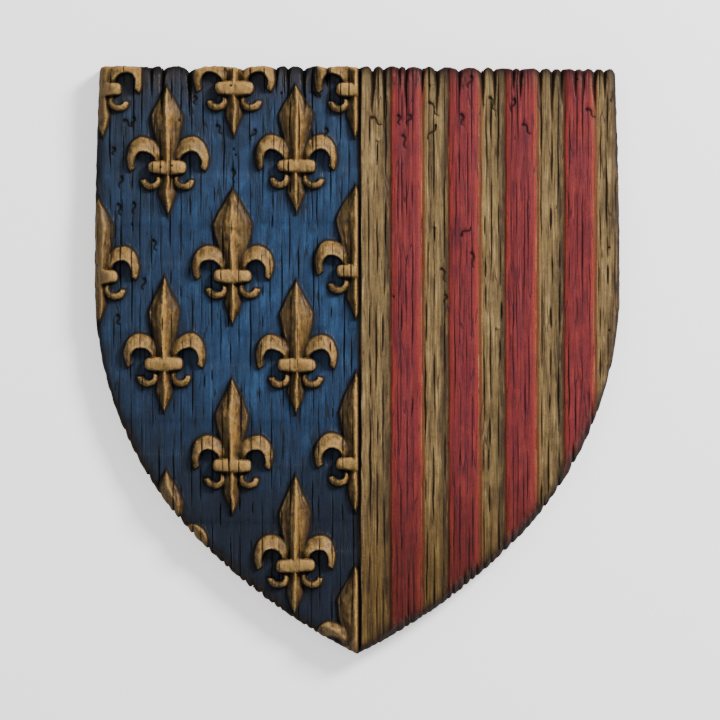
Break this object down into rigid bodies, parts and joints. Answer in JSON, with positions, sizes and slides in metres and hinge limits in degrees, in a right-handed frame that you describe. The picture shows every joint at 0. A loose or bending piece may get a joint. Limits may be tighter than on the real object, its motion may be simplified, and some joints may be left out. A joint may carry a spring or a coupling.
{
  "type": "heater shield",
  "caption": "Decorative heater shield cast in one piece, one half blue with raised gold lilies and one half gold with raised red pales, with a flat back.",
  "frame": {"origin": "centre of the outline's box, on the flat back that the shield lies on", "axes": "+Z out of the carved face, +Y towards the straight top edge, +X towards the half with the red pales"},
  "size_m": [0.408, 0.457, 0.0274],
  "materials": {
    "painted_cast": "hand-painted cast resin in blue, ochre gold and red with dark wash in the hollows"
  },
  "bodies": {
    "root": {"shield": "painted_cast"}
  },
  "joints": []
}
